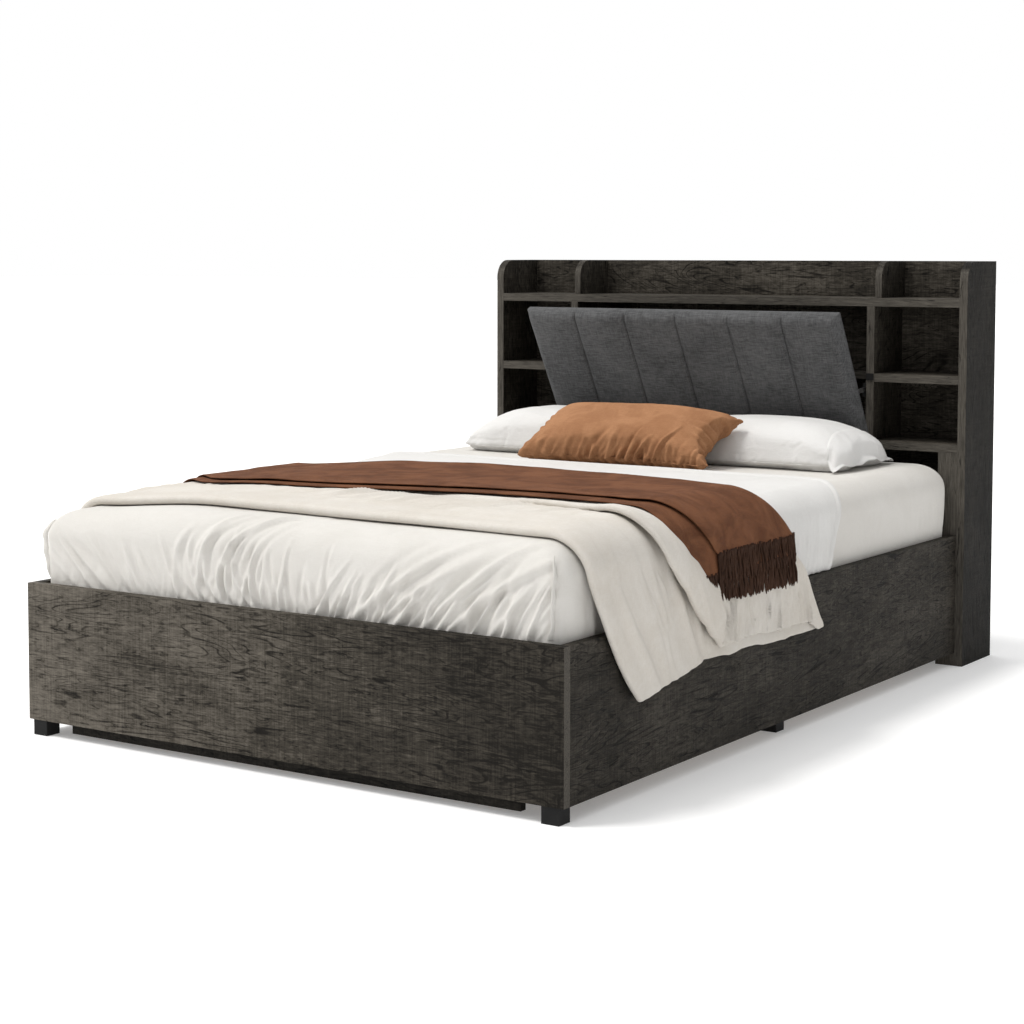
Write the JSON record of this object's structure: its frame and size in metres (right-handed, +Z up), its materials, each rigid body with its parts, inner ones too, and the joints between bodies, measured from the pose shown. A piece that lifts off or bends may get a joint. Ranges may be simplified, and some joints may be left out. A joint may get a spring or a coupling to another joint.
{
  "type": "bed with storage headboard",
  "caption": "Low boxed platform bed with a bookcase headboard, a padded back rest that tilts out of it, and a made-up mattress with pillows, quilt, blanket and throw.",
  "frame": {"origin": "on the floor under the middle of the whole bed, halfway between the outer face of the footboard and the back of the headboard", "axes": "+Z up, +Y from the foot towards the headboard, +X to the right as seen by a person who stands at the foot and faces the headboard"},
  "size_m": [1.486, 2.135, 1.062],
  "materials": {
    "laminate": "matt dark grey-brown laminate with an oak-like grain",
    "softwood": "planed, plain",
    "black_plastic": "matt black",
    "steel": "zinc plated",
    "linen": "charcoal linen weave, stitched in upright channels",
    "white_cotton": "off-white plain weave cotton",
    "cream_cotton": "cream plain weave cotton",
    "rust_wool": "brown brushed wool with a darker fringe",
    "rust_cotton": "rust brown brushed cotton"
  },
  "bodies": {
    "bed": {"footboard": "laminate", "side_rail_left": "laminate", "side_rail_right": "laminate", "head_end_board": "laminate", "front_foot_left": "black_plastic", "front_foot_right": "black_plastic", "front_plinth_board": "laminate", "centre_beam": "softwood", "cross_beam": "softwood", "centre_leg": "black_plastic", "middle_leg_left": "black_plastic", "middle_leg_right": "black_plastic", "slat_ledge_left": "softwood", "slat_ledge_right": "softwood", "slat_01": "softwood", "slat_02": "softwood", "slat_03": "softwood", "slat_04": "softwood", "slat_05": "softwood", "slat_06": "softwood", "slat_07": "softwood", "slat_08": "softwood", "slat_09": "softwood", "slat_10": "softwood", "foot_corner_bracket_left": "steel", "foot_corner_bracket_right": "steel", "head_corner_bracket_left": "steel", "head_corner_bracket_right": "steel", "headboard_side_left": "laminate", "headboard_side_right": "laminate", "front_post_left": "laminate", "front_post_right": "laminate", "headboard_back": "laminate", "lower_shelf": "laminate", "top_shelf": "laminate", "divider_left": "laminate", "divider_right": "laminate", "tray_divider_left": "laminate", "tray_divider_right": "laminate", "middle_shelf_left": "laminate", "middle_shelf_right": "laminate", "middle_shelf_centre": "laminate", "catch_left": "black_plastic", "catch_right": "black_plastic", "hinge_leaf_shelf": "steel", "hinge_pin": "steel", "stay_guide_left": "black_plastic", "stay_guide_right": "black_plastic", "mattress": "white_cotton", "quilt": "white_cotton", "blanket": "cream_cotton", "throw_blanket": "rust_wool", "pillow_left": "white_cotton", "pillow_right": "white_cotton", "lumbar_pillow": "rust_cotton"},
    "back_rest": {"panel_board": "laminate", "panel_pad": "linen", "hinge_leaf_panel": "steel", "stay_left": "steel", "stay_right": "steel"}
  },
  "joints": [
    {"name": "back_rest_tilt", "type": "hinge", "parent": "bed", "child": "back_rest", "pos_m": [0, 0.8654, 0.5584], "axis": [1, 0, 0], "range_deg": [-30, 0]}
  ]
}
